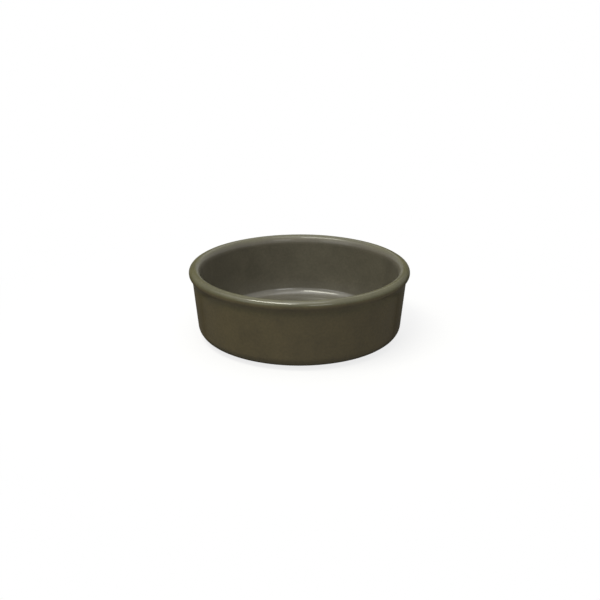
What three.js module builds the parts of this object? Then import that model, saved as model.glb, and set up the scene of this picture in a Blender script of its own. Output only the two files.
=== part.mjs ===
// Round casserole dish in glazed stoneware, built up as the real one is: a clay body made in one piece,
// a coat of glaze from the inside floor over the lip and down the outside to the foot, and a patch of
// glaze in the hollow of the foot. The foot ring is wiped clean before firing, so it stands on bare clay.
// Millimetres, +Z up, origin at the middle of the plane that the foot ring stands on.
import * as THREE from "three";

// Outside of the finished dish
const RIM_DIAMETER = 150;
const HEIGHT = 49;
const LIP_EDGE_RADIUS = 3.4;
const LIP_OVERHANG = 2.6; // how far the rim stands out past the top of the wall
const NECK_RADIUS = 11; // the hollow sweep from the wall out to the lip
const WALL_DRAFT_DEG = 5.5;
const BASE_CORNER_RADIUS = 8;

// Inside of the finished dish
const WALL_THICKNESS = 5.5; // square to the wall at its top, glaze included
const FLARE_DEPTH = 6.4; // how far below the rim the inside wall starts to flare
const BOW_RADIUS = 200; // the inside wall is a little hollow, steepest at its top
const TOP_DRAFT_DEG = 2; // of the inside wall where it meets the flare
const FLOOR_THICKNESS = 4; // from the roof of the foot well to the inside floor, glaze included
const FLOOR_FILLET_RADIUS = 6;

// Foot ring
const FOOT_INSET = 3.5; // from the end of the base corner in to the ring
const FOOT_WIDTH = 5.5;
const FOOT_HEIGHT = 1.8;
const FOOT_EDGE_RADIUS = 0.7;

// Glaze
const GLAZE_THICKNESS = 0.4;
const BOND_GAP = 0.05; // clearance between the clay and the glaze that is fused to it
const WIPED_MARGIN = 0.8; // bare clay left on either side of the foot ring

// Facets
const TURN_STEPS = 64;
const ARC_SAG = 0.06; // the most that a facet may cut inside a round edge of the section
const FLARE_STEPS = 5;

// Normals of the section, as angles from the outward radius
const OUTWARD = 0;
const UP = Math.PI / 2;
const INWARD = Math.PI;
const DOWN = -Math.PI / 2;
const draft = THREE.MathUtils.degToRad(WALL_DRAFT_DEG);
const topDraft = THREE.MathUtils.degToRad(TOP_DRAFT_DEG);

// The unit vector of a normal in the section, where x is the radius and y the height.
function direction(normal) {
  return new THREE.Vector2(Math.cos(normal), Math.sin(normal));
}

// A round stretch of the section, traced by its normals. A negative radius makes it hollow.
function arc(centre, radius, from, to) {
  const widestStep = 2 * Math.acos(1 - ARC_SAG / Math.abs(radius));
  const steps = Math.ceil(Math.abs(to - from) / widestStep);
  return Array.from({ length: steps + 1 }, (_, i) => {
    const normal = from + ((to - from) * i) / steps;
    return { at: direction(normal).multiplyScalar(radius).add(centre), normal };
  });
}

// The trumpet-like sweep from the crest of the lip down into the inside wall.
function flare(crest, corner, wallPoint) {
  const curve = new THREE.QuadraticBezierCurve(crest, corner, wallPoint);
  return Array.from({ length: FLARE_STEPS + 1 }, (_, i) => {
    const along = curve.getTangent(i / FLARE_STEPS);
    return { at: curve.getPoint(i / FLARE_STEPS), normal: Math.atan2(-along.x, along.y) };
  });
}

// The section's points, moved into the dish by a depth along their normals.
function inset(section, depth) {
  return section.map(({ at, normal }) => direction(normal).multiplyScalar(-depth).add(at));
}

// A point on the dish's axis.
function onAxis(height) {
  return new THREE.Vector2(0, height);
}

// A profile turned about +Z.
function turned(profile) {
  return new THREE.LatheGeometry(profile, TURN_STEPS).rotateX(Math.PI / 2);
}

// The lip hangs from the rim, and the neck joins its edge to the wall with no kink.
const lipCentre = new THREE.Vector2(RIM_DIAMETER / 2 - LIP_EDGE_RADIUS, HEIGHT - LIP_EDGE_RADIUS);
const lipAndNeck = LIP_EDGE_RADIUS + NECK_RADIUS;
const neckReach = NECK_RADIUS * Math.cos(draft) + LIP_EDGE_RADIUS - LIP_OVERHANG;
const flank = -Math.acos(neckReach / lipAndNeck);
const neckCentre = direction(flank).multiplyScalar(lipAndNeck).add(lipCentre);

// The wall's outside is a straight line square to its normal, known by its distance from the origin.
const wallNormal = direction(-draft);
const outsideLine = wallNormal.dot(neckCentre) - NECK_RADIUS;

// The radius of a line along the wall at a height.
function wallRadius(line, height) {
  return (line - height * wallNormal.y) / wallNormal.x;
}

// The base corner rests on the underside and runs into the wall.
const cornerHeight = FOOT_HEIGHT + BASE_CORNER_RADIUS;
const baseCentre = new THREE.Vector2(wallRadius(outsideLine - BASE_CORNER_RADIUS, cornerHeight), cornerHeight);

// The inside wall bows from the end of the flare down to the fillet, and each runs into the next with no kink.
const floorHeight = FOOT_HEIGHT + FLOOR_THICKNESS;
const flareHeight = HEIGHT - FLARE_DEPTH;
const flareEnd = new THREE.Vector2(wallRadius(outsideLine - WALL_THICKNESS, flareHeight), flareHeight);
const bowCentre = direction(INWARD - topDraft).multiplyScalar(BOW_RADIUS).add(flareEnd);
const bowToFillet = BOW_RADIUS - FLOOR_FILLET_RADIUS;
const lowDraft = Math.asin((bowCentre.y - floorHeight - FLOOR_FILLET_RADIUS) / bowToFillet);
const filletCentre = direction(INWARD - lowDraft).multiplyScalar(-bowToFillet).add(bowCentre);

// The glazed surface from the underside of the base, over the lip, to the edge of the inside floor.
const glazedSection = [
  ...arc(baseCentre, BASE_CORNER_RADIUS, DOWN, -draft),
  ...arc(neckCentre, -NECK_RADIUS, -draft, flank),
  ...arc(lipCentre, LIP_EDGE_RADIUS, flank, OUTWARD).slice(1),
  ...arc(lipCentre, LIP_EDGE_RADIUS, OUTWARD, UP).slice(1, -1),
  ...flare(
    new THREE.Vector2(lipCentre.x, HEIGHT),
    new THREE.Vector2(flareEnd.x + FLARE_DEPTH * Math.tan(topDraft), HEIGHT),
    flareEnd,
  ),
  ...arc(bowCentre, -BOW_RADIUS, INWARD - topDraft, INWARD - lowDraft).slice(1),
  ...arc(filletCentre, -FLOOR_FILLET_RADIUS, INWARD - lowDraft, UP).slice(1),
];

// The bare clay lies one coat of glaze and its bond below that surface.
const clayDepth = GLAZE_THICKNESS + BOND_GAP;
const clayUnderside = FOOT_HEIGHT + clayDepth;
const footOuter = baseCentre.x - FOOT_INSET;
const footInner = footOuter - FOOT_WIDTH;

// The foot ring from the roof of the well, round its two bottom edges, to the underside of the base.
function footRing() {
  const innerEdge = new THREE.Vector2(footInner + FOOT_EDGE_RADIUS, FOOT_EDGE_RADIUS);
  const outerEdge = new THREE.Vector2(footOuter - FOOT_EDGE_RADIUS, FOOT_EDGE_RADIUS);
  const edges = [
    ...arc(innerEdge, FOOT_EDGE_RADIUS, INWARD, INWARD + UP),
    ...arc(outerEdge, FOOT_EDGE_RADIUS, DOWN, OUTWARD),
  ];
  return [
    new THREE.Vector2(footInner, clayUnderside),
    ...inset(edges, 0),
    new THREE.Vector2(footOuter, clayUnderside),
  ];
}

function stonewareBody() {
  return turned([
    onAxis(clayUnderside),
    ...footRing(),
    ...inset(glazedSection, clayDepth),
    onAxis(floorHeight - clayDepth),
  ]);
}

// The coat follows the clay up from the floor and over the lip, ends beside the foot, and comes back outside.
function glazeCoat() {
  const edge = { at: new THREE.Vector2(footOuter + WIPED_MARGIN, FOOT_HEIGHT), normal: DOWN };
  const section = [edge, ...glazedSection];
  return turned([
    onAxis(floorHeight - GLAZE_THICKNESS),
    ...inset(section, GLAZE_THICKNESS).reverse(),
    ...inset(section, 0),
    onAxis(floorHeight),
  ]);
}

function footWellGlaze() {
  const radius = footInner - WIPED_MARGIN;
  return turned([
    onAxis(0),
    new THREE.Vector2(radius, 0),
    new THREE.Vector2(radius, GLAZE_THICKNESS),
    onAxis(GLAZE_THICKNESS),
  ]);
}

const stoneware = new THREE.MeshStandardMaterial({ color: 0xb8a68a, roughness: 0.9, metalness: 0 });
const glaze = new THREE.MeshStandardMaterial({ color: 0x4f4a38, roughness: 0.4, metalness: 0 });

const dish = new THREE.Group();

// Adds a named piece to the dish at a height above the table.
function addPiece(name, geometry, material, height = 0) {
  const piece = new THREE.Mesh(geometry, material);
  piece.name = name;
  piece.position.z = height;
  dish.add(piece);
}

addPiece("stoneware_body", stonewareBody(), stoneware);
addPiece("glaze_coat", glazeCoat(), glaze);
addPiece("foot_well_glaze", footWellGlaze(), glaze, FOOT_HEIGHT);

export default dish;
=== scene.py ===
"""Dress a round stoneware casserole dish under an olive-brown satin glaze.

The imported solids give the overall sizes. The dish is turned here from the same section, finely and with the
slight unevenness that dipped glaze has, and it stands on a white studio floor at the photograph's angle.
Lengths in the classes are millimetres and angles are degrees, unless a name says otherwise. Meshes are in
metres.
"""
import logging
import math
from dataclasses import dataclass, replace
from enum import Enum
from typing import Callable, Sequence

import bpy
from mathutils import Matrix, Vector, noise


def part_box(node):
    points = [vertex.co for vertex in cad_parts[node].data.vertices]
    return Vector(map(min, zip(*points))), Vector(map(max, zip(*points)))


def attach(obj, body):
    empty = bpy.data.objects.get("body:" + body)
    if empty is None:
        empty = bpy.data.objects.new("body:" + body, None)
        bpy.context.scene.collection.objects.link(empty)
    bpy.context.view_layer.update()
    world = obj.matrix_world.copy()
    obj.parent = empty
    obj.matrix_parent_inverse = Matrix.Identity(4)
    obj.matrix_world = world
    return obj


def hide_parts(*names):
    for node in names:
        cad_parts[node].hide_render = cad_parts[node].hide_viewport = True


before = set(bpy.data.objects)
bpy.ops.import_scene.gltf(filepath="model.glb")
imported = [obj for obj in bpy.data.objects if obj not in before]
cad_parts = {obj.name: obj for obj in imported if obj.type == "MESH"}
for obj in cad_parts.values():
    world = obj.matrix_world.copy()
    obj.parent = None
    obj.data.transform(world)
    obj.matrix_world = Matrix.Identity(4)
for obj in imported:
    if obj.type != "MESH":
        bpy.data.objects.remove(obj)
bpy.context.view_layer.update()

LOG = logging.getLogger("casserole_dish")
BODY = "root"
MM = 0.001
TURN_STEPS = 192

# Normals of the section in radians, as angles up from the outward radius
DOWN = -math.pi / 2
OUTWARD = 0.0
UP = math.pi / 2
INWARD = math.pi

# Values that the meshes carry for their finishes
# How the glaze lies; where it is low the glaze is darker, partly as painted shade
GLAZE_LIE_AND_SHADE = "glaze_lie_and_shade"
INSIDE = "inside"
HAZE = "haze"
GLOSS = "gloss"
SHEEN_KEPT = "sheen_kept"
GROUND = "ground"

# Sockets of the colour mix, which has several of each name
MIX_FACTOR, MIX_FIRST, MIX_SECOND, MIX_RESULT = 0, 6, 7, 2

# Levels between which noise mostly lies
NOISE_LOW, NOISE_HIGH = 0.3, 0.7

WHITE = "#ffffff"

# Linear red, green and blue, and an alpha
Colour = tuple[float, float, float, float]


class Bend(Enum):
    """Which way a round stretch of a section bends, as the sign of its radius."""

    ROUND = 1
    HOLLOW = -1


class Slot(Enum):
    """The record's material slots."""

    GLAZE = "olive_glaze"
    CLAY = "bare_stoneware"


@dataclass(frozen=True)
class Fineness:
    """How closely a section is sampled: the widest turn on a round stretch and the longest straight step."""

    turn: float
    stride: float


SEEN = Fineness(turn=3.0, stride=2.0)
COVERED = Fineness(turn=11.0, stride=30.0)


@dataclass(frozen=True)
class Spot:
    """A point of a section.

    Attributes:
        radius: Distance from the dish's axis.
        height: Height above the table.
        normal: Way the surface faces there, in radians.
        inside: How far the spot counts as inside the dish, from 0 to 1.
        haze: Strength of the glaze's soft sheen, from 0 on the drier outside to 1 on the lip and more inside.
        gloss: Strength of its crisp reflections, from 0 on the drier outside to 1 on the lip.
        kept: Share of both that is left where the surface turns from the eye.
        uneven: Share of its surface's unevenness that the spot takes.
    """

    radius: float
    height: float
    normal: float
    inside: float = 0.0
    haze: float = 0.0
    gloss: float = 0.0
    kept: float = 0.0
    uneven: float = 0.0

    def raised(self, amount: float) -> "Spot":
        """The spot moved along its normal, or into the surface by a negative amount."""
        radius = self.radius + amount * math.cos(self.normal)
        return replace(self, radius=radius, height=self.height + amount * math.sin(self.normal))


def smoothstep(value: float) -> float:
    """Ease a value from 0 to 1, held at both ends."""
    held = min(max(value, 0.0), 1.0)
    return held * held * (3 - 2 * held)


@dataclass(frozen=True)
class Lustre:
    """How shiny the glaze is from place to place: dry outside, glossy on the lip, with a soft sheen inside.

    Attributes:
        set_in: Turn of the lip's edge, from its outermost line up, over which the shine sets in.
        edge_kept: Share of the shine that the lip's edge keeps at a slant.
        flare_haze: Soft sheen gained halfway down the flare.
        flare_dullness: Gloss lost there.
        inside_gloss: Gloss of the inside wall and floor.
        gathered_haze: Soft sheen gained where glaze gathers on the floor and at the foot of the wall.
        gathered_rise: Height over the foot of the wall at which that gain begins.
    """

    set_in: float = 52.0
    edge_kept: float = 0.04
    flare_haze: float = 1.9
    flare_dullness: float = 0.74
    inside_gloss: float = 0.62
    gathered_haze: float = 1.55
    gathered_rise: float = 7.0

    def on_edge(self, spot: Spot) -> Spot:
        """The shine of a spot on the lip's edge, which sets in as the edge turns up."""
        share = smoothstep(math.degrees(spot.normal) / self.set_in)
        return replace(spot, haze=share, gloss=share, kept=self.edge_kept * share)

    def on_flare(self, spot: Spot, share: float) -> Spot:
        """Give a spot on the flare its shine.

        Args:
            spot: The spot.
            share: Its place along the flare, from 0 at the crest of the lip to 1 at the wall.

        Returns:
            The spot, which counts as inside the more the further it goes.
        """
        inside = smoothstep(share)
        slope = math.sin(math.pi * share)
        gloss = 1 + (self.inside_gloss - 1) * inside - self.flare_dullness * slope
        kept = self.edge_kept + (1 - self.edge_kept) * inside
        return replace(spot, inside=inside, haze=1 + self.flare_haze * slope, gloss=gloss, kept=kept)

    def within(self, spot: Spot, foot: float) -> Spot:
        """Give a spot on the inside wall, its fillet or the floor its shine.

        Args:
            spot: The spot.
            foot: Height of the foot of the wall.

        Returns:
            The spot, with more soft sheen the lower it lies.
        """
        gathered = smoothstep(1 - (spot.height - foot) / self.gathered_rise)
        haze = 1 + self.gathered_haze * gathered
        return replace(spot, inside=1.0, haze=haze, gloss=self.inside_gloss, kept=1.0)


LUSTRE = Lustre()


def arc(centre: Vector, radius: float, bend: Bend, start: float, end: float, turn: float) -> list[Spot]:
    """Trace a round stretch of a section by its normals.

    Args:
        centre: Radius and height of the centre.
        radius: Radius of the stretch.
        bend: Whether it bulges or is hollow.
        start: First normal, in radians.
        end: Last normal, in radians.
        turn: Widest turn between two spots.

    Returns:
        The spots in order, both ends included.
    """
    steps = math.ceil(math.degrees(abs(end - start)) / turn)
    normals = [start + (end - start) * i / steps for i in range(steps + 1)]
    return [Spot(centre.x, centre.y, normal).raised(radius * bend.value) for normal in normals]


def between(start: Spot, end: Spot, stride: float) -> list[Spot]:
    """Fill the straight stretch between two spots of a section.

    Args:
        start: Spot before the stretch.
        end: Spot after it, which gives the normal.
        stride: Longest step along it.

    Returns:
        The spots in order, both ends left out.
    """
    steps = math.ceil(math.hypot(end.radius - start.radius, end.height - start.height) / stride)
    shares = [i / steps for i in range(1, steps)]
    radii = [start.radius + (end.radius - start.radius) * share for share in shares]
    heights = [start.height + (end.height - start.height) * share for share in shares]
    return [replace(end, radius=radius, height=height) for radius, height in zip(radii, heights)]


@dataclass(frozen=True)
class DishForm:
    """Driving sizes of the finished dish, glaze included, and the section that follows from them."""

    rim_radius: float
    height: float
    foot_height: float
    lip_edge_radius: float = 3.4
    lip_overhang: float = 2.6
    neck_radius: float = 11.0
    wall_draft: float = 5.5
    base_corner_radius: float = 8.0
    wall_thickness: float = 5.5
    flare_depth: float = 6.4
    bow_radius: float = 200.0
    top_draft: float = 2.0
    floor_thickness: float = 4.0
    floor_fillet_radius: float = 6.0
    foot_inset: float = 3.5
    foot_width: float = 5.5
    foot_edge_radius: float = 0.7
    glaze_thickness: float = 0.4
    bond_gap: float = 0.05
    wiped_margin: float = 0.8

    @classmethod
    def from_frame(cls) -> "DishForm":
        """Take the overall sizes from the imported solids.

        Returns:
            The form with those sizes.
        """
        coat_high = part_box("glaze_coat")[1]
        well_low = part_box("foot_well_glaze")[0]
        return cls(coat_high.x / MM, coat_high.z / MM, well_low.z / MM)

    @property
    def lean(self) -> float:
        """Draft of the outside wall in radians."""
        return math.radians(self.wall_draft)

    @property
    def top_lean(self) -> float:
        """Draft of the inside wall where it leaves the flare, in radians."""
        return math.radians(self.top_draft)

    @property
    def lip_centre(self) -> Vector:
        """Centre of the lip's round edge."""
        return Vector((self.rim_radius - self.lip_edge_radius, self.height - self.lip_edge_radius))

    @property
    def flank(self) -> float:
        """Normal, in radians, at which the hollow neck runs into the lip's edge."""
        reach = self.neck_radius * math.cos(self.lean) + self.lip_edge_radius - self.lip_overhang
        return -math.acos(reach / (self.neck_radius + self.lip_edge_radius))

    @property
    def neck_centre(self) -> Vector:
        """Centre of the hollow sweep under the lip."""
        away = self.neck_radius + self.lip_edge_radius
        return self.lip_centre + away * Vector((math.cos(self.flank), math.sin(self.flank)))

    @property
    def outside_line(self) -> float:
        """Distance of the outside wall's line from the origin."""
        square_to_wall = Vector((math.cos(self.lean), -math.sin(self.lean)))
        return square_to_wall.dot(self.neck_centre) - self.neck_radius

    @property
    def floor_height(self) -> float:
        """Height of the inside floor."""
        return self.foot_height + self.floor_thickness

    @property
    def base_centre(self) -> Vector:
        """Centre of the base corner, which rests on the underside and runs into the wall."""
        level = self.foot_height + self.base_corner_radius
        return Vector((self.wall_radius(self.outside_line - self.base_corner_radius, level), level))

    @property
    def flare_end(self) -> Vector:
        """Where the flare of the lip runs into the inside wall."""
        level = self.height - self.flare_depth
        return Vector((self.wall_radius(self.outside_line - self.wall_thickness, level), level))

    @property
    def bow_centre(self) -> Vector:
        """Centre of the slight bow of the inside wall."""
        away = Vector((-math.cos(self.top_lean), math.sin(self.top_lean)))
        return self.flare_end + self.bow_radius * away

    @property
    def low_lean(self) -> float:
        """Draft of the inside wall where it runs into the fillet, in radians."""
        drop = self.bow_centre.y - self.floor_height - self.floor_fillet_radius
        return math.asin(drop / (self.bow_radius - self.floor_fillet_radius))

    @property
    def fillet_centre(self) -> Vector:
        """Centre of the fillet round the inside floor."""
        away = Vector((math.cos(self.low_lean), -math.sin(self.low_lean)))
        return self.bow_centre + (self.bow_radius - self.floor_fillet_radius) * away

    @property
    def foot_outer(self) -> float:
        """Outer radius of the foot ring."""
        return self.base_centre.x - self.foot_inset

    @property
    def foot_inner(self) -> float:
        """Inner radius of the foot ring."""
        return self.foot_outer - self.foot_width

    @property
    def clay_depth(self) -> float:
        """Depth of the clay under the glazed surface."""
        return self.glaze_thickness + self.bond_gap

    def wall_radius(self, line: float, height: float) -> float:
        """Radius of a line along the wall at a height."""
        return (line + height * math.sin(self.lean)) / math.cos(self.lean)

    def flare_spot(self, share: float) -> Spot:
        """Find a spot on the sweep from the crest of the lip down into the inside wall.

        Args:
            share: Place along the sweep, from 0 at the crest to 1 at the wall.

        Returns:
            The spot with its shine.
        """
        crest = Vector((self.lip_centre.x, self.height))
        corner = Vector((self.flare_end.x + self.flare_depth * math.tan(self.top_lean), self.height))
        at = crest.lerp(corner, share).lerp(corner.lerp(self.flare_end, share), share)
        along = (corner - crest).lerp(self.flare_end - corner, share)
        return LUSTRE.on_flare(Spot(at.x, at.y, math.atan2(-along.x, along.y)), share)

    def glazed_section(self, fineness: Fineness) -> list[Spot]:
        """Trace the glazed surface from the underside of the base, over the lip, to the middle of the floor.

        Args:
            fineness: How closely to sample it.

        Returns:
            The spots in order.
        """
        turn = fineness.turn
        bow_turn = math.degrees(fineness.stride / self.bow_radius)
        bow_start, bow_end = INWARD - self.top_lean, INWARD - self.low_lean
        corner = arc(self.base_centre, self.base_corner_radius, Bend.ROUND, DOWN, -self.lean, turn)
        neck = arc(self.neck_centre, self.neck_radius, Bend.HOLLOW, -self.lean, self.flank, turn)
        under_lip = arc(self.lip_centre, self.lip_edge_radius, Bend.ROUND, self.flank, OUTWARD, turn)
        over_lip = arc(self.lip_centre, self.lip_edge_radius, Bend.ROUND, OUTWARD, UP, turn)
        flare_steps = math.ceil(math.degrees(bow_start - UP) / turn)
        flare = [self.flare_spot(i / flare_steps) for i in range(flare_steps + 1)]
        bow = arc(self.bow_centre, self.bow_radius, Bend.HOLLOW, bow_start, bow_end, bow_turn)
        fillet = arc(self.fillet_centre, self.floor_fillet_radius, Bend.HOLLOW, bow_end, UP, turn)
        middle = Spot(0.0, self.floor_height, UP)
        outer_wall = between(corner[-1], neck[0], fineness.stride)
        floor = between(fillet[-1], middle, fineness.stride)
        edge = [LUSTRE.on_edge(spot) for spot in over_lip[1:-1]]
        low = (*bow[1:], *fillet[1:], *floor, middle)
        depths = [LUSTRE.within(spot, self.fillet_centre.y) for spot in low]
        return [*corner, *outer_wall, *neck, *under_lip[1:], *edge, *flare, *depths]


@dataclass(frozen=True)
class Settling:
    """How molten glaze settles: thin over edges that it drains from, thick in hollows and where it hangs.

    Attributes:
        reach: Length over which the glaze evens out.
        full_bend: Bend, in radians per millimetre, that draws it quite thin where it can drain.
        hanging_and_shade: How much glaze gathers on what faces down; it also darkens there as painted shade.
        upright: Sine of the tilt, up or down, at which a surface still counts as upright.
        drained_at: Sine of the upward tilt from which glaze drains freely.
        hung_and_shaded_at: Sine of the downward tilt from which it hangs freely and its painted shade is
            full.
    """

    reach: float = 3.0
    full_bend: float = 0.25
    hanging_and_shade: float = 0.06
    upright: float = 0.1
    drained_at: float = 0.3
    hung_and_shaded_at: float = 0.45

    def lies(self, section: Sequence[Spot]) -> list[float]:
        """Work out how the glaze lies along a section, from its bend near each spot and from its tilt.

        Args:
            section: Spots of the glazed surface in order.

        Returns:
            A value for each spot: up to 1 where glaze runs thin over an edge, down to -1 where it pools or
            hangs. The glaze is darker where the value is low, partly as painted shade.
        """
        pairs = list(zip(section, section[1:]))
        lengths = [math.hypot(b.radius - a.radius, b.height - a.height) for a, b in pairs]
        turns = [b.normal - a.normal for a, b in pairs]
        places = [sum(lengths[:i]) for i in range(len(section))]
        middles = [place + length / 2 for place, length in zip(places, lengths)]
        lies = []
        for spot, place in zip(section, places):
            weights = [math.exp(-(((middle - place) / self.reach) ** 2)) for middle in middles]
            turned = sum(weight * turn for weight, turn in zip(weights, turns))
            covered = sum(weight * length for weight, length in zip(weights, lengths))
            bend = min(max(turned / covered / self.full_bend, -1.0), 1.0)
            tilt = math.sin(spot.normal)
            drained = smoothstep((tilt + self.upright) / (self.drained_at + self.upright))
            # Faces that turn down count as thicker glaze and get painted shade in the glaze's colour
            hung_and_shaded = smoothstep((-tilt - self.upright) / (self.hung_and_shaded_at - self.upright))
            lie = min(bend, bend * drained) - self.hanging_and_shade * hung_and_shaded
            lies.append(max(lie, -1.0))
        return lies


@dataclass(frozen=True)
class Unevenness:
    """Slow waves of a surface that was finished by hand.

    Attributes:
        wave: Length of the waves.
        height: Most that they rise or sink.
        seed: Shift that tells one set of waves from another.
    """

    wave: float
    height: float
    seed: float

    def at(self, spot: Spot, angle: float) -> float:
        """Height of the waves at a spot of a section and an angle of the turn, in radians."""
        around = Vector((spot.radius * math.cos(angle), spot.radius * math.sin(angle), spot.height))
        return self.height * noise.noise(around / self.wave + Vector((0.0, 0.0, self.seed)))


def turned_mesh(
    name: str,
    outline: Sequence[Spot],
    place: Callable[[Spot, float], Spot],
    values: dict[str, Sequence[float]],
) -> bpy.types.Mesh:
    """Turn an outline about the dish's axis into a closed, smooth mesh.

    Args:
        name: Name of the mesh.
        outline: Spots from the axis round the piece and back to the axis, with the solid to their left.
        place: Moves a spot for an angle of the turn, in radians, where the piece isn't perfectly round.
        values: A list of one value per spot for each name under which the mesh carries them.

    Returns:
        The mesh.
    """
    points: list[Vector] = []
    rings: list[list[int]] = []
    for spot in outline:
        copies = TURN_STEPS if spot.radius > 0 else 1
        rings.append([len(points) + step % copies for step in range(TURN_STEPS)])
        for angle in (2 * math.pi * step / TURN_STEPS for step in range(copies)):
            at = place(spot, angle)
            points.append(MM * Vector((at.radius * math.cos(angle), at.radius * math.sin(angle), at.height)))
    faces = []
    for below, above in zip(rings, rings[1:]):
        for step in range(TURN_STEPS):
            after = (step + 1) % TURN_STEPS
            corners = (below[step], below[after], above[after], above[step])
            faces.append(tuple(dict.fromkeys(corners)))
    mesh = bpy.data.meshes.new(name)
    mesh.from_pydata(points, [], faces)
    mesh.polygons.foreach_set("use_smooth", [True] * len(faces))
    for value_name, per_spot in values.items():
        per_point = {point: value for ring, value in zip(rings, per_spot) for point in ring}
        carried = mesh.attributes.new(value_name, "FLOAT", "POINT")
        carried.data.foreach_set("value", [per_point[point] for point in range(len(points))])
    return mesh


def linear(hex_colour: str) -> Colour:
    """Turn an sRGB hex colour into linear values.

    Args:
        hex_colour: A # and six hex digits.

    Returns:
        Linear red, green and blue, and an alpha of 1.
    """
    shares = [int(hex_colour[i : i + 2], 16) / 255 for i in (1, 3, 5)]
    red, green, blue = (s / 12.92 if s <= 0.04045 else ((s + 0.055) / 1.055) ** 2.4 for s in shares)
    return red, green, blue, 1.0


def per_metre(size_mm: float) -> float:
    """Scale of a pattern whose features have a size in millimetres."""
    return 1 / (size_mm * MM)


def add_node(
    tree: bpy.types.NodeTree,
    kind: str,
    settings: dict[str, object],
    inputs: dict[str | int, object],
) -> bpy.types.Node:
    """Add a node with its settings, its values and its links.

    Args:
        tree: Node tree that the node goes into.
        kind: Blender's name for the kind of node.
        settings: The node's own options by name.
        inputs: For sockets by name or number, another node's socket to link or a value to hold.

    Returns:
        The new node.
    """
    node = tree.nodes.new(kind)
    for name, value in settings.items():
        setattr(node, name, value)
    for name, value in inputs.items():
        if isinstance(value, bpy.types.NodeSocket):
            tree.links.new(value, node.inputs[name])
        else:
            node.inputs[name].default_value = value
    return node


def bare_material(name: str) -> bpy.types.Material:
    """Make a material with an empty node tree.

    Args:
        name: What the material is and how it was made.

    Returns:
        The material.
    """
    material = bpy.data.materials.new(name)
    material.use_nodes = True
    material.node_tree.nodes.clear()
    return material


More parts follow.
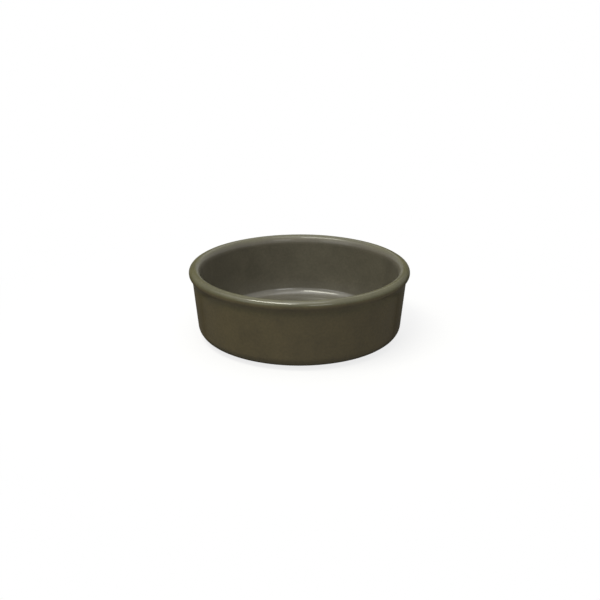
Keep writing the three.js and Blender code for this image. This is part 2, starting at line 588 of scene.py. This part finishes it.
@dataclass(frozen=True)
class SatinGlaze:
    """Iron-bearing olive stoneware glaze, dipped and fired to a satin surface.

    To the eye it is a dark olive brown, drier outside and greyer inside. It is greener where it ran thin over
    the lip. It is darker where it gathers thick in hollows and on what faces down, which is partly painted
    shade, most of all in the hollow under the lip. The lip and the inside show crisp highlights in a soft
    sheen, and the colour clouds a little over some centimetres, over a faint orange-peel ripple.
    """

    outside: str = "#534a31"
    inside: str = "#555144"
    thin: str = "#504d31"
    # Darker tint for thick glaze in hollows and on what faces down, partly painted shade under the lip
    pooled_and_shaded: str = "#464526"
    # How far the clouds fray the edge of the thin tint, and how thin glaze lies where it begins and is full
    thin_breakup: float = 0.3
    thin_from: float = 0.65
    thin_to: float = 1.1
    cloud_mm: float = 16.0
    cloud_detail: float = 4.0
    cloud_depth: float = 0.12
    fleck_mm: float = 1.6
    fleck_depth: float = 0.08
    ripple_mm: float = 4.0
    ripple_height_mm: float = 0.012
    fine_detail: float = 2.0
    # The soft sheen of the body of the glaze
    haze: float = 0.25
    haze_roughness: float = 0.5
    haze_spread: float = 0.05
    ior: float = 1.5
    # The crisp reflections of its smooth top, of which the drier outside has a share, and little at a slant
    gloss: float = 0.95
    gloss_roughness: float = 0.13
    gloss_ior: float = 1.64
    dry_share: float = 0.21
    rim_gloss: float = 0.05
    # Turn away from the eye, from 0 to 1, over which fine crystals break up the sheen of the drier glaze
    slant_from: float = 0.12
    slant_to: float = 0.69

    def material(self) -> bpy.types.Material:
        """Build the glaze's node tree.

        Returns:
            The material.
        """
        made = bare_material("olive_stoneware_glaze_dipped_satin")
        tree = made.node_tree
        at = add_node(tree, "ShaderNodeTexCoord", {}, {}).outputs["Object"]
        cloud, fleck, ripple = (
            add_node(
                tree,
                "ShaderNodeTexNoise",
                {},
                {"Vector": at, "Scale": per_metre(size_mm), "Detail": detail},
            ).outputs["Fac"]
            for size_mm, detail in (
                (self.cloud_mm, self.cloud_detail),
                (self.fleck_mm, self.fine_detail),
                (self.ripple_mm, self.fine_detail),
            )
        )
        roughness = add_node(
            tree,
            "ShaderNodeMapRange",
            {},
            {
                "Value": cloud,
                "From Min": NOISE_LOW,
                "From Max": NOISE_HIGH,
                "To Min": self.haze_roughness - self.haze_spread,
                "To Max": self.haze_roughness + self.haze_spread,
            },
        ).outputs["Result"]
        bump = add_node(
            tree,
            "ShaderNodeBump",
            {},
            {"Distance": self.ripple_height_mm * MM, "Height": ripple},
        ).outputs["Normal"]
        kept = self.kept_at_slant(tree)
        shader = add_node(
            tree,
            "ShaderNodeBsdfPrincipled",
            {},
            {
                "Base Color": self.colour(tree, cloud, fleck),
                "Roughness": roughness,
                "Normal": bump,
                "IOR": self.ior,
                "Specular IOR Level": self.sheen(tree, HAZE, self.haze, kept, least=0.0),
                "Coat Weight": self.sheen(tree, GLOSS, self.gloss, kept, least=self.rim_gloss),
                "Coat Roughness": self.gloss_roughness,
                "Coat IOR": self.gloss_ior,
                "Coat Normal": bump,
            },
        ).outputs["BSDF"]
        add_node(tree, "ShaderNodeOutputMaterial", {}, {"Surface": shader})
        return made

    def kept_at_slant(self, tree: bpy.types.NodeTree) -> bpy.types.NodeSocket:
        """Find how much of the shine is left as the glaze turns from the eye: all inside, little outside.

        Args:
            tree: The material's node tree.

        Returns:
            The share's socket, from 0 to 1.
        """
        least = add_node(tree, "ShaderNodeAttribute", {"attribute_name": SHEEN_KEPT}, {}).outputs["Fac"]
        slant = add_node(tree, "ShaderNodeLayerWeight", {}, {}).outputs["Facing"]
        return add_node(
            tree,
            "ShaderNodeMapRange",
            {},
            {
                "Value": slant,
                "From Min": self.slant_from,
                "From Max": self.slant_to,
                "To Min": 1.0,
                "To Max": least,
            },
        ).outputs["Result"]

    def sheen(
        self,
        tree: bpy.types.NodeTree,
        carried: str,
        full: float,
        kept: bpy.types.NodeSocket,
        least: float,
    ) -> bpy.types.NodeSocket:
        """Set the strength of one kind of reflection.

        Args:
            tree: The material's node tree.
            carried: Name of the value that says where the reflection is at its full strength.
            full: That strength; the drier outside has a share of it.
            kept: Share that is left at a slant.
            least: Strength that is always there.

        Returns:
            The strength's socket.
        """
        share = add_node(tree, "ShaderNodeAttribute", {"attribute_name": carried}, {}).outputs["Fac"]
        head_on = add_node(
            tree,
            "ShaderNodeMapRange",
            {"clamp": False},
            {"Value": share, "To Min": full * self.dry_share, "To Max": full},
        ).outputs["Result"]
        return add_node(
            tree,
            "ShaderNodeMath",
            {"operation": "MULTIPLY_ADD"},
            {0: head_on, 1: kept, 2: least},
        ).outputs["Value"]

    def colour(
        self,
        tree: bpy.types.NodeTree,
        cloud: bpy.types.NodeSocket,
        fleck: bpy.types.NodeSocket,
    ) -> bpy.types.NodeSocket:
        """Mix the glaze's colour from how it lies and from its clouding.

        Args:
            tree: The material's node tree.
            cloud: Slow noise.
            fleck: Fine noise.

        Returns:
            The colour's socket.
        """
        lie, inside = (
            add_node(tree, "ShaderNodeAttribute", {"attribute_name": name}, {}).outputs["Fac"]
            for name in (GLAZE_LIE_AND_SHADE, INSIDE)
        )
        # Share of the darker tint: thick glaze and painted shade in hollows and on what faces down
        pool_and_shade = add_node(
            tree,
            "ShaderNodeMapRange",
            {},
            {"Value": lie, "From Min": 0.0, "From Max": -1.0},
        ).outputs["Result"]
        broken_lie = add_node(
            tree,
            "ShaderNodeMath",
            {"operation": "MULTIPLY_ADD"},
            {0: cloud, 1: self.thin_breakup, 2: lie},
        ).outputs["Value"]
        thin = add_node(
            tree,
            "ShaderNodeMapRange",
            {"interpolation_type": "SMOOTHSTEP"},
            {"Value": broken_lie, "From Min": self.thin_from, "From Max": self.thin_to},
        ).outputs["Result"]
        mixed: Colour | bpy.types.NodeSocket = linear(self.outside)
        for share, tint in ((pool_and_shade, self.pooled_and_shaded), (thin, self.thin), (inside, self.inside)):
            mixed = add_node(
                tree,
                "ShaderNodeMix",
                {"data_type": "RGBA"},
                {MIX_FACTOR: share, MIX_FIRST: mixed, MIX_SECOND: linear(tint)},
            ).outputs[MIX_RESULT]
        for pattern, depth in ((cloud, self.cloud_depth), (fleck, self.fleck_depth)):
            shade = add_node(
                tree,
                "ShaderNodeMapRange",
                {},
                {
                    "Value": pattern,
                    "From Min": NOISE_LOW,
                    "From Max": NOISE_HIGH,
                    "To Min": 1 - depth,
                    "To Max": 1 + depth,
                },
            ).outputs["Result"]
            mixed = add_node(
                tree,
                "ShaderNodeMix",
                {"data_type": "RGBA", "blend_type": "MULTIPLY"},
                {MIX_FACTOR: 1.0, MIX_FIRST: mixed, MIX_SECOND: shade},
            ).outputs[MIX_RESULT]
        return mixed


@dataclass(frozen=True)
class BareStoneware:
    """Buff stoneware clay, pressed, wiped and fired without glaze.

    To the eye it is a dry, matt, warm buff with sandy grain and scattered dark iron specks. It is a little
    greyer and smoother where the foot was ground to stand level.
    """

    clay: str = "#b8a68a"
    toasted: str = "#a58a66"
    ground: str = "#a89d8b"
    speck: str = "#5d4a36"
    cloud_mm: float = 9.0
    # Sand grains of about 0.3 mm, drawn twice as coarse so that they show
    grain_mm: float = 0.6
    grain_height_mm: float = 0.04
    grain_dark: float = 0.8
    grain_light: float = 1.15
    detail: float = 3.0
    speck_spacing_mm: float = 2.4
    speck_size_mm: float = 0.35
    roughness: float = 0.88
    ground_roughness: float = 0.7
    specular: float = 0.3
    ior: float = 1.5

    def material(self) -> bpy.types.Material:
        """Build the clay's node tree.

        Returns:
            The material.
        """
        made = bare_material("buff_stoneware_clay_fired_bare")
        tree = made.node_tree
        at = add_node(tree, "ShaderNodeTexCoord", {}, {}).outputs["Object"]
        ground = add_node(tree, "ShaderNodeAttribute", {"attribute_name": GROUND}, {}).outputs["Fac"]
        cloud, grain = (
            add_node(
                tree,
                "ShaderNodeTexNoise",
                {},
                {"Vector": at, "Scale": per_metre(size_mm), "Detail": self.detail},
            ).outputs["Fac"]
            for size_mm in (self.cloud_mm, self.grain_mm)
        )
        from_speck = add_node(
            tree,
            "ShaderNodeTexVoronoi",
            {},
            {"Vector": at, "Scale": per_metre(self.speck_spacing_mm)},
        ).outputs["Distance"]
        speck_radius = self.speck_size_mm / self.speck_spacing_mm / 2
        speckle = add_node(
            tree,
            "ShaderNodeMapRange",
            {"interpolation_type": "SMOOTHSTEP"},
            {"Value": from_speck, "From Min": 2 * speck_radius, "From Max": speck_radius},
        ).outputs["Result"]
        mixed: Colour | bpy.types.NodeSocket = linear(self.clay)
        for share, tint in ((cloud, self.toasted), (ground, self.ground), (speckle, self.speck)):
            mixed = add_node(
                tree,
                "ShaderNodeMix",
                {"data_type": "RGBA"},
                {MIX_FACTOR: share, MIX_FIRST: mixed, MIX_SECOND: linear(tint)},
            ).outputs[MIX_RESULT]
        grain_shade = add_node(
            tree,
            "ShaderNodeMapRange",
            {},
            {
                "Value": grain,
                "From Min": NOISE_LOW,
                "From Max": NOISE_HIGH,
                "To Min": self.grain_dark,
                "To Max": self.grain_light,
            },
        ).outputs["Result"]
        grainy = add_node(
            tree,
            "ShaderNodeMix",
            {"data_type": "RGBA", "blend_type": "MULTIPLY"},
            {MIX_FACTOR: 1.0, MIX_FIRST: mixed, MIX_SECOND: grain_shade},
        ).outputs[MIX_RESULT]
        roughness = add_node(
            tree,
            "ShaderNodeMapRange",
            {},
            {"Value": ground, "To Min": self.roughness, "To Max": self.ground_roughness},
        ).outputs["Result"]
        bump = add_node(
            tree,
            "ShaderNodeBump",
            {},
            {"Distance": self.grain_height_mm * MM, "Height": grain},
        ).outputs["Normal"]
        shader = add_node(
            tree,
            "ShaderNodeBsdfPrincipled",
            {},
            {
                "Base Color": grainy,
                "Roughness": roughness,
                "Normal": bump,
                "IOR": self.ior,
                "Specular IOR Level": self.specular,
            },
        ).outputs["BSDF"]
        add_node(tree, "ShaderNodeOutputMaterial", {}, {"Surface": shader})
        return made


def add_piece(mesh: bpy.types.Mesh, finish: bpy.types.Material, node: str) -> bpy.types.Object:
    """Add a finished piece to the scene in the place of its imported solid.

    Args:
        mesh: The piece's mesh, which also names it.
        finish: The piece's material.
        node: The solid that the piece stands for.

    Returns:
        The piece.
    """
    mesh.materials.append(finish)
    piece = bpy.data.objects.new(mesh.name, mesh)
    bpy.context.scene.collection.objects.link(piece)
    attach(piece, BODY)
    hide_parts(node)
    return piece


@dataclass(frozen=True)
class StonewareBody:
    """The clay body, bare only at its foot ring and the wiped margins beside it."""

    form: DishForm
    foot_turn: float = 15.0
    grinding_stride: float = 0.4
    grinding: Unevenness = Unevenness(wave=0.9, height=0.03, seed=5.0)

    def foot_ring(self) -> list[Spot]:
        """Trace the foot ring from the roof of its well, round both edges, to the underside of the base.

        Returns:
            The spots in order; those of the standing face take the marks of grinding.
        """
        form = self.form
        rounding = form.foot_edge_radius
        roof = form.foot_height + form.clay_depth
        inner_centre = Vector((form.foot_inner + rounding, rounding))
        outer_centre = Vector((form.foot_outer - rounding, rounding))
        inner = arc(inner_centre, rounding, Bend.ROUND, -INWARD, DOWN, self.foot_turn)
        outer = arc(outer_centre, rounding, Bend.ROUND, DOWN, OUTWARD, self.foot_turn)
        standing = between(inner[-1], outer[0], self.grinding_stride)
        return [
            Spot(form.foot_inner, roof, -INWARD),
            *inner,
            *(replace(spot, uneven=1.0) for spot in standing),
            *outer,
            Spot(form.foot_outer, roof, OUTWARD),
        ]

    def place(self, spot: Spot, angle: float) -> Spot:
        """Sink a spot of the standing face into its grinding marks, which run round the ring."""
        marks = self.grinding.at(replace(spot, height=0.0), 0.0) - self.grinding.height
        return spot.raised(spot.uneven * marks)

    def build(self) -> bpy.types.Mesh:
        """Turn the clay body.

        Returns:
            The mesh.
        """
        form = self.form
        roof = form.foot_height + form.clay_depth
        foot = self.foot_ring()
        clay = [spot.raised(-form.clay_depth) for spot in form.glazed_section(COVERED)]
        outline = [Spot(0.0, roof, DOWN), *foot, *clay]
        ground = [spot.uneven for spot in outline]
        return turned_mesh("stoneware_body_turned", outline, self.place, {GROUND: ground})

    def dress(self, finish: bpy.types.Material) -> bpy.types.Object:
        """Build the body and give it its clay."""
        return add_piece(self.build(), finish, "stoneware_body")


@dataclass(frozen=True)
class GlazeCoat:
    """The glaze from the inside floor, over the lip and down the outside to a wiped edge beside the foot."""

    form: DishForm
    flow: Unevenness = Unevenness(wave=26.0, height=0.07, seed=3.0)
    wiping: Unevenness = Unevenness(wave=8.0, height=0.5, seed=11.0)
    settling: Settling = Settling()
    pooling: float = 0.16
    edge_turn: float = 22.5
    edge_stride: float = 0.3

    @property
    def edge(self) -> Spot:
        """Where the coat ends beside the foot."""
        return Spot(self.form.foot_outer + self.form.wiped_margin, self.form.foot_height, DOWN)

    def place(self, spot: Spot, angle: float) -> Spot:
        """Move a spot for the flow of the glaze and, on the underside, for the wiping of its edge.

        Args:
            spot: Spot of the outline.
            angle: Angle of the turn, in radians.

        Returns:
            The spot as it is at that angle.
        """
        flowed = spot.raised(spot.uneven * self.flow.at(spot, angle))
        if spot.height > self.form.foot_height + self.form.clay_depth:
            return flowed
        from_edge = (spot.radius - self.edge.radius) / (self.form.base_centre.x - self.edge.radius)
        wiped = (1 - smoothstep(from_edge)) * self.wiping.at(self.edge, angle)
        return replace(flowed, radius=flowed.radius + wiped)

    def build(self) -> bpy.types.Mesh:
        """Turn the coat: coarsely where it lies on the clay, round its edge, and finely over its face.

        Returns:
            The mesh.
        """
        form = self.form
        depth = form.glaze_thickness
        on_clay = [spot.raised(-depth) for spot in (self.edge, *form.glazed_section(COVERED))][::-1]
        roll_centre = Vector((self.edge.radius, form.foot_height + depth / 2))
        roll = arc(roll_centre, depth / 2, Bend.ROUND, UP, INWARD + UP, self.edge_turn)[1:-1]
        section = form.glazed_section(SEEN)
        face = [self.edge, *between(self.edge, section[0], self.edge_stride), *section]
        lies = self.settling.lies(face)
        flowing = [
            replace(spot.raised(self.pooling * max(-lie, 0.0)), uneven=1.0) for spot, lie in zip(face, lies)
        ]
        outline = [*on_clay, *roll, *flowing]
        values = {
            GLAZE_LIE_AND_SHADE: [0.0] * (len(on_clay) + len(roll)) + lies,
            INSIDE: [spot.inside for spot in outline],
            HAZE: [spot.haze for spot in outline],
            GLOSS: [spot.gloss for spot in outline],
            SHEEN_KEPT: [spot.kept for spot in outline],
        }
        return turned_mesh("glaze_coat_dipped", outline, self.place, values)

    def dress(self, finish: bpy.types.Material) -> bpy.types.Object:
        """Build the coat and give it its glaze."""
        return add_piece(self.build(), finish, "glaze_coat")


@dataclass(frozen=True)
class FootWellGlaze:
    """The patch of glaze in the hollow of the foot, with a wiped edge of its own."""

    form: DishForm
    flow: Unevenness = Unevenness(wave=24.0, height=0.06, seed=17.0)
    wiping: Unevenness = Unevenness(wave=8.0, height=0.5, seed=23.0)
    wiped_band: float = 4.0
    edge_turn: float = 22.5

    @property
    def edge(self) -> Spot:
        """Where the patch ends beside the foot."""
        return Spot(self.form.foot_inner - self.form.wiped_margin, self.form.foot_height, DOWN)

    def place(self, spot: Spot, angle: float) -> Spot:
        """Move a spot for the flow of the glaze and for the wiping of its edge.

        Args:
            spot: Spot of the outline.
            angle: Angle of the turn, in radians.

        Returns:
            The spot as it is at that angle.
        """
        flowed = spot.raised(spot.uneven * self.flow.at(spot, angle))
        near_edge = 1 - smoothstep((self.edge.radius - spot.radius) / self.wiped_band)
        return replace(flowed, radius=flowed.radius + near_edge * self.wiping.at(self.edge, angle))

    def build(self) -> bpy.types.Mesh:
        """Turn the patch.

        Returns:
            The mesh.
        """
        form = self.form
        depth = form.glaze_thickness
        middle = Spot(0.0, form.foot_height, DOWN)
        face = [middle, *between(middle, self.edge, SEEN.stride), self.edge]
        roll_centre = Vector((self.edge.radius, form.foot_height + depth / 2))
        roll = arc(roll_centre, depth / 2, Bend.ROUND, DOWN, UP, self.edge_turn)[1:-1]
        on_clay = [self.edge.raised(-depth), middle.raised(-depth)]
        outline = [*(replace(spot, uneven=1.0) for spot in face), *roll, *on_clay]
        level = [0.0] * len(outline)
        values = {name: level for name in (GLAZE_LIE_AND_SHADE, INSIDE, HAZE, GLOSS, SHEEN_KEPT)}
        return turned_mesh("foot_well_glaze_dipped", outline, self.place, values)

    def dress(self, finish: bpy.types.Material) -> bpy.types.Object:
        """Build the patch and give it its glaze."""
        return add_piece(self.build(), finish, "foot_well_glaze")


@dataclass(frozen=True)
class Softbox:
    """A studio lamp: its side and height as seen from the dish, its distance, its size, power and tint."""

    name: str
    side: float
    elevation: float
    distance: float
    width: float
    depth: float
    watts: float
    tint: str = WHITE

    def place(self, aim: Vector) -> bpy.types.Object:
        """Hang the lamp so that it faces the dish.

        Args:
            aim: Point that it faces, in metres.

        Returns:
            The lamp.
        """
        lamp = bpy.data.lights.new(self.name, "AREA")
        lamp.shape = "RECTANGLE"
        lamp.size = self.width * MM
        lamp.size_y = self.depth * MM
        lamp.energy = self.watts
        lamp.color = linear(self.tint)[:3]
        away = toward(self.side, self.elevation)
        hung_and_shaded = bpy.data.objects.new(self.name, lamp)
        hung_and_shaded.location = aim + away * self.distance * MM
        hung_and_shaded.rotation_euler = away.to_track_quat("Z", "Y").to_euler()
        bpy.context.scene.collection.objects.link(hung_and_shaded)
        return hung_and_shaded


def toward(side: float, elevation: float) -> Vector:
    """Direction from the dish to a side, 0 at the front and 90 at the right, and an elevation."""
    across, up = math.radians(side), math.radians(elevation)
    return Vector((math.sin(across) * math.cos(up), -math.cos(across) * math.cos(up), math.sin(up)))


@dataclass(frozen=True)
class Studio:
    """A white floor and background with soft lamps at a plain level."""

    lamps: tuple[Softbox, ...] = (
        Softbox("key_softbox", -42.0, 63.3, 1500.0, 950.0, 380.0, watts=12.4, tint="#fffdee"),
        Softbox("overhead_softbox", 0.0, 88.0, 900.0, 500.0, 500.0, watts=1.25),
        Softbox("front_right_lamp", 21.0, 28.0, 900.0, 320.0, 220.0, watts=0.7),
        Softbox("left_softbox", -85.0, 45.0, 1000.0, 700.0, 500.0, watts=0.6),
        Softbox("front_left_fill", -45.0, 20.0, 1000.0, 600.0, 400.0, watts=1.0),
        Softbox("back_fill", 175.0, 40.0, 1000.0, 600.0, 500.0, watts=1.0),
    )
    aim_height: float = 25.0
    ambient: float = 0.4
    floor_side: float = 12000.0
    # The floor as it throws light back on the dish; it shows as white
    floor_grey: str = "#787878"
    # Share of the true shadow that shows at the dish, and the distance at which it has faded
    shadow_share: float = 0.25
    shadow_reach: float = 260.0

    def build(self) -> None:
        """Lay the floor, light the room and hang the lamps."""
        self.lay_floor()
        self.light_room()
        for lamp in self.lamps:
            lamp.place(Vector((0.0, 0.0, self.aim_height * MM)))
            LOG.info("%s: %.1f W", lamp.name, lamp.watts)

    def shown_rays(self, tree: bpy.types.NodeTree) -> bpy.types.NodeSocket:
        """Add a value of 1 for rays that show a background: seen, mirrored or through glass.

        Args:
            tree: Node tree of the floor or the world.

        Returns:
            The value's socket.
        """
        path = add_node(tree, "ShaderNodeLightPath", {}, {}).outputs
        shown = path["Is Camera Ray"]
        for kind in ("Is Glossy Ray", "Is Transmission Ray"):
            shown = add_node(
                tree,
                "ShaderNodeMath",
                {"operation": "MAXIMUM"},
                {0: shown, 1: path[kind]},
            ).outputs["Value"]
        return shown

    def lay_floor(self) -> bpy.types.Object:
        """Lay a floor that looks white but for the dish's shadow, and that throws little light up.

        Returns:
            The floor.
        """
        half = self.floor_side * MM / 2
        corners = [(-half, -half, 0), (half, -half, 0), (half, half, 0), (-half, half, 0)]
        mesh = bpy.data.meshes.new("studio_floor")
        mesh.from_pydata(corners, [], [(0, 1, 2, 3)])
        finish = bare_material("white_studio_paper_matt")
        tree = finish.node_tree
        at = add_node(tree, "ShaderNodeTexCoord", {}, {}).outputs["Object"]
        from_dish = add_node(tree, "ShaderNodeVectorMath", {"operation": "LENGTH"}, {0: at}).outputs["Value"]
        white = add_node(
            tree,
            "ShaderNodeMapRange",
            {"interpolation_type": "SMOOTHSTEP"},
            {"Value": from_dish, "From Max": self.shadow_reach * MM, "To Min": 1 - self.shadow_share},
        ).outputs["Result"]
        shown = self.shown_rays(tree)
        shown_white = add_node(
            tree,
            "ShaderNodeMath",
            {"operation": "MULTIPLY"},
            {0: white, 1: shown},
        ).outputs["Value"]
        paper_colour = add_node(
            tree,
            "ShaderNodeMix",
            {"data_type": "RGBA"},
            {MIX_FACTOR: shown, MIX_FIRST: linear(self.floor_grey), MIX_SECOND: linear(WHITE)},
        ).outputs[MIX_RESULT]
        paper = add_node(tree, "ShaderNodeBsdfDiffuse", {}, {"Color": paper_colour}).outputs["BSDF"]
        glow = add_node(tree, "ShaderNodeEmission", {}, {"Color": linear(WHITE)}).outputs["Emission"]
        surface = add_node(
            tree,
            "ShaderNodeMixShader",
            {},
            {0: shown_white, 1: paper, 2: glow},
        ).outputs["Shader"]
        add_node(tree, "ShaderNodeOutputMaterial", {}, {"Surface": surface})
        mesh.materials.append(finish)
        floor = bpy.data.objects.new("studio_floor", mesh)
        bpy.context.scene.collection.objects.link(floor)
        return floor

    def light_room(self) -> None:
        """Give the room a white that shows and a lower level that lights the dish."""
        world = bpy.data.worlds.new("white_room")
        bpy.context.scene.world = world
        world.use_nodes = True
        tree = world.node_tree
        tree.nodes.clear()
        strength = add_node(
            tree,
            "ShaderNodeMapRange",
            {},
            {"Value": self.shown_rays(tree), "To Min": self.ambient, "To Max": 1.0},
        ).outputs["Result"]
        white = add_node(tree, "ShaderNodeBackground", {}, {"Color": linear(WHITE), "Strength": strength})
        add_node(tree, "ShaderNodeOutputWorld", {}, {"Surface": white.outputs["Background"]})


@dataclass(frozen=True)
class Viewpoint:
    """Where the photograph was taken from: a long lens in front of the dish and a little above it."""

    elevation: float = 20.3
    distance: float = 760.0
    pivot_height: float = 20.0
    lens: float = 66.2
    aim: tuple[float, float, float] = (0.4, 1.2, 23.1)

    def build(self) -> bpy.types.Object:
        """Set up the camera.

        Returns:
            The camera.
        """
        scene = bpy.context.scene
        scene.view_settings.view_transform = "Standard"
        data = bpy.data.cameras.new("photograph_view")
        data.lens = self.lens
        camera = bpy.data.objects.new("photograph_view", data)
        pivot = Vector((0.0, 0.0, self.pivot_height))
        camera.location = MM * (pivot + self.distance * toward(0.0, self.elevation))
        back = camera.location - MM * Vector(self.aim)
        camera.rotation_euler = back.to_track_quat("Z", "Y").to_euler()
        scene.collection.objects.link(camera)
        scene.camera = camera
        return camera


def main() -> None:
    """Build the dish, its studio and the camera."""
    logging.basicConfig(level=logging.INFO, format="%(name)s: %(message)s")
    form = DishForm.from_frame()
    LOG.info("rim %.1f mm, height %.1f mm", 2 * form.rim_radius, form.height)
    glaze = SatinGlaze().material()
    clay = BareStoneware().material()
    for part, finish in ((StonewareBody(form), clay), (GlazeCoat(form), glaze), (FootWellGlaze(form), glaze)):
        piece = part.dress(finish)
        LOG.info("%s: %d faces in %s", piece.name, len(piece.data.polygons), finish.name)
    Studio().build()
    Viewpoint().build()


if __name__ == "__main__":
    main()
